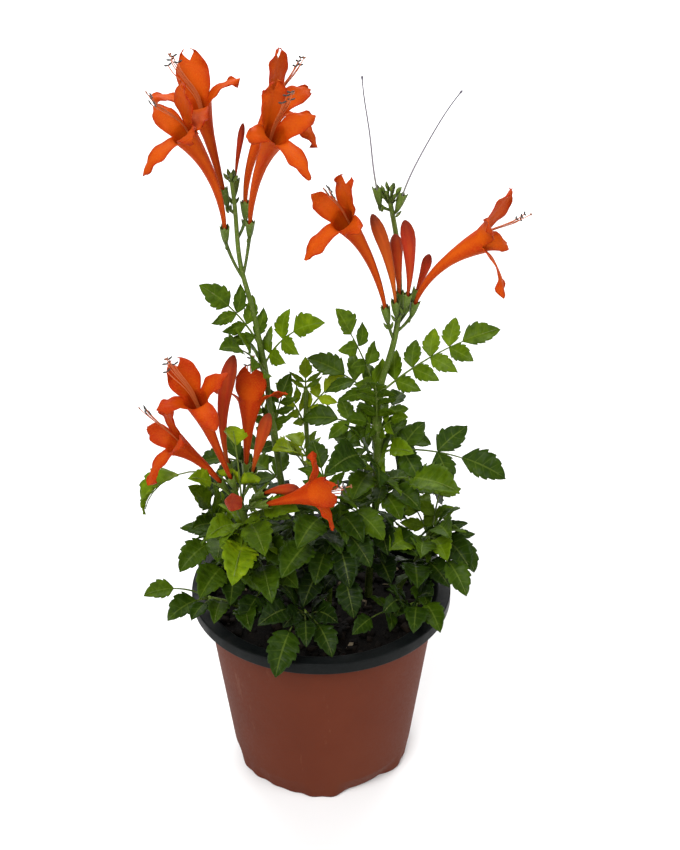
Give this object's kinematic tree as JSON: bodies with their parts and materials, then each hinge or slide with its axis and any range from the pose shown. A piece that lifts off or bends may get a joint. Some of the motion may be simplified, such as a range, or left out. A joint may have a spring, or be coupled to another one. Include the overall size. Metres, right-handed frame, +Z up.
{
  "type": "potted trumpet vine",
  "caption": "Trumpet vine in a round plastic nursery pot: upright shoots with toothed pinnate leaves, and clusters of orange trumpet flowers and red buds.",
  "frame": {"origin": "middle of the underside of the pot's base, on the surface that the pot stands on", "axes": "+Z up, out of the soil; -Y towards the front of the plant, where the low cluster of flowers hangs; +X to its right"},
  "size_m": [0.1721, 0.148, 0.3666],
  "materials": {
    "pot": "matte",
    "soil": "matte",
    "petal": "satin",
    "bud": "satin",
    "thread": "matte",
    "leaf_young": "satin",
    "leaf_mid": "satin",
    "leaf_dark": "satin"
  },
  "bodies": {
    "root": {"pot": "pot", "soil": "soil", "shoot_tall_left": "leaf_mid", "shoot_tall_right": "leaf_mid", "shoot_young": "leaf_young", "shoot_low_flowering": "leaf_young", "shoot_left_bush": "leaf_young", "shoot_left_trailing": "leaf_young", "shoot_front": "leaf_mid", "shoot_centre": "leaf_mid", "shoot_right_front": "leaf_mid", "shoot_right_bush": "leaf_dark", "shoot_back_left": "leaf_dark", "shoot_back_right": "leaf_dark", "bloom_left_front": "petal", "bloom_left_top": "petal", "bloom_left_side": "petal", "bloom_left_rear": "petal", "bloom_right_side": "petal", "bloom_right_star": "petal", "bloom_low_top": "petal", "bloom_low_left": "petal", "bloom_low_right": "petal", "bloom_low_rear": "petal", "bud_left_dark": "bud", "bud_right_orange": "bud", "bud_right_red": "bud", "bud_right_rear": "bud", "bud_right_small": "bud", "bud_low_tall": "bud", "bud_low_upright": "bud", "bud_low_curved": "bud", "bud_low_front": "bud", "thread_left": "thread", "thread_right": "thread"}
  },
  "joints": []
}
